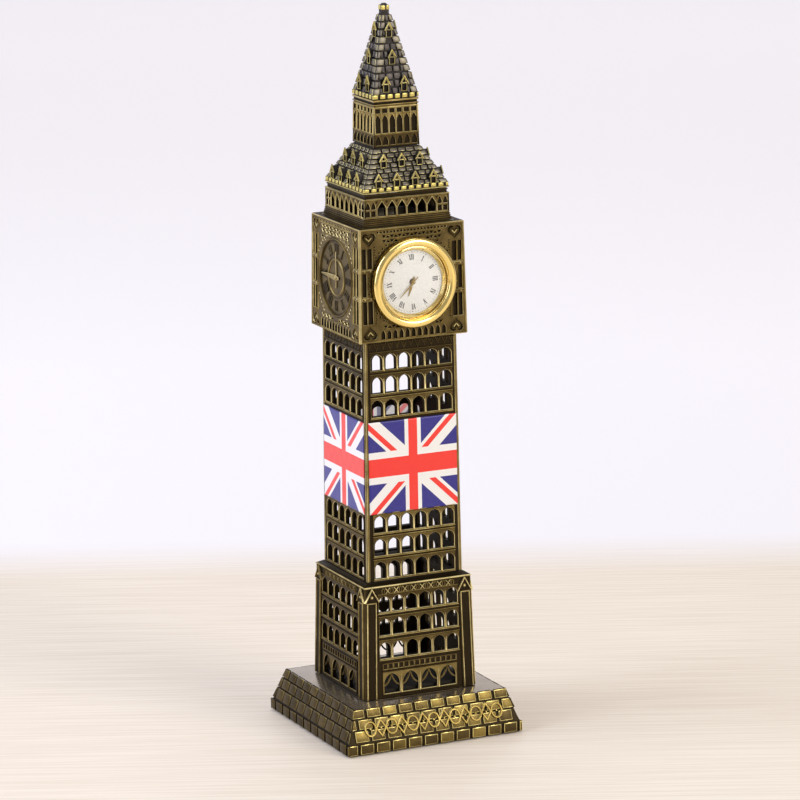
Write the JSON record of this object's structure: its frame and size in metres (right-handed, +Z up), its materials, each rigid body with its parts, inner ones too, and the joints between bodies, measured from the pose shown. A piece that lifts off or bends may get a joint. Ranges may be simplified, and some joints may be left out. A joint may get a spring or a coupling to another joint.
{
  "type": "miniature clock tower",
  "caption": "Hollow cast-metal miniature of a gothic clock tower on a stepped block base, with stickers on the shaft and a working round push-in clock.",
  "frame": {"origin": "centre of the underside that the tower rests on", "axes": "+Z up along the tower; the working clock looks along -Y"},
  "size_m": [0.079, 0.079, 0.3],
  "materials": {
    "antique_bronze": "antiqued plating, dark recesses, rubbed golden edges",
    "dark_bronze": "dark antiqued plating",
    "sticker_film": "printed glossy film",
    "polished_gold": "polished gold plating",
    "hand_gold": "gilt",
    "lens_glass": "clear",
    "dial_white": "printed white dial",
    "case_plastic": "moulded",
    "grip_rubber": "ribbed",
    "movement_brass": "stamped",
    "steel": "plated",
    "coil_copper": "enamelled winding",
    "board": "solder mask",
    "pad_felt": "felt"
  },
  "bodies": {
    "tower": {"base_plinth": "antique_bronze", "base_pad": "pad_felt", "tower_screw_1": "steel", "tower_screw_2": "steel", "tower_screw_3": "steel", "tower_screw_4": "steel", "storey_floor_plate": "dark_bronze", "storey_panel_front": "antique_bronze", "storey_panel_right": "antique_bronze", "storey_panel_back": "antique_bronze", "storey_panel_left": "antique_bronze", "storey_ledge": "dark_bronze", "shaft_panel_front": "antique_bronze", "shaft_panel_right": "antique_bronze", "shaft_panel_back": "antique_bronze", "shaft_panel_left": "antique_bronze", "sticker_front": "sticker_film", "sticker_right": "sticker_film", "sticker_back": "sticker_film", "sticker_left": "sticker_film", "stage_panel_front": "antique_bronze", "stage_panel_right": "antique_bronze", "stage_panel_back": "antique_bronze", "stage_panel_left": "antique_bronze", "stage_floor_plate": "dark_bronze", "stage_top_plate": "dark_bronze", "belfry_arcade": "antique_bronze", "main_roof": "antique_bronze", "lantern_arcade": "antique_bronze", "spire": "antique_bronze", "finial": "polished_gold"},
    "clock_insert": {"insert_bezel": "polished_gold", "insert_lens": "lens_glass", "inner_ring": "polished_gold", "dial": "dial_white", "movement_ring": "case_plastic", "insert_case": "case_plastic", "grip_ring": "grip_rubber", "movement_plate": "movement_brass", "train_bridge": "steel", "bridge_screw_1": "steel", "bridge_screw_2": "steel", "stator": "steel", "coil": "coil_copper", "button_cell": "steel", "battery_contact": "movement_brass", "circuit_board": "board"},
    "back_cap": {"case_back": "steel"},
    "minute_arbor": {"centre_wheel": "movement_brass", "minute_hand": "hand_gold"},
    "hour_pipe": {"hour_wheel": "movement_brass", "hour_hand": "hand_gold"},
    "motion_wheel": {"minute_wheel": "movement_brass"},
    "third_wheel": {"intermediate_wheel": "movement_brass"},
    "motor_rotor": {"rotor": "steel"},
    "stem_detent": {"setting_lever": "steel"},
    "stem": {"crown_stem": "steel"}
  },
  "joints": [
    {"name": "insert_pull", "type": "slide", "parent": "tower", "child": "clock_insert", "axis": [0, -1, 0], "range_m": [0, 0.016]},
    {"name": "case_back_pull", "type": "slide", "parent": "clock_insert", "child": "back_cap", "axis": [0, 1, 0], "range_m": [0, 0.006]},
    {"name": "minute_hand_turn", "type": "hinge", "parent": "clock_insert", "child": "minute_arbor", "pos_m": [0, -0.0242, 0.1899], "axis": [0, 1, 0], "continuous": true},
    {"name": "hour_hand_turn", "type": "hinge", "parent": "clock_insert", "child": "hour_pipe", "pos_m": [0, -0.0242, 0.1899], "axis": [0, 1, 0], "continuous": true},
    {"name": "minute_wheel_turn", "type": "hinge", "parent": "clock_insert", "child": "motion_wheel", "pos_m": [0, -0.0242, 0.1939], "axis": [0, 1, 0], "continuous": true},
    {"name": "intermediate_wheel_turn", "type": "hinge", "parent": "clock_insert", "child": "third_wheel", "pos_m": [-0.00364, -0.0242, 0.192], "axis": [0, 1, 0], "continuous": true},
    {"name": "rotor_turn", "type": "hinge", "parent": "clock_insert", "child": "motor_rotor", "pos_m": [-0.00426, -0.0242, 0.19555], "axis": [0, 1, 0], "continuous": true},
    {"name": "crown_pull", "type": "slide", "parent": "clock_insert", "child": "stem_detent", "axis": [1, 0, 0], "range_m": [0, 0.0009]},
    {"name": "crown_turn", "type": "hinge", "parent": "stem_detent", "child": "stem", "pos_m": [0.017, -0.0169, 0.1899], "axis": [1, 0, 0], "continuous": true}
  ],
  "couplings": [
    {"joint": "hour_hand_turn", "follows": "minute_hand_turn", "ratio": 0.083333},
    {"joint": "minute_wheel_turn", "follows": "minute_hand_turn", "ratio": -0.33333},
    {"joint": "intermediate_wheel_turn", "follows": "minute_hand_turn", "ratio": -6},
    {"joint": "rotor_turn", "follows": "minute_hand_turn", "ratio": 30}
  ]
}
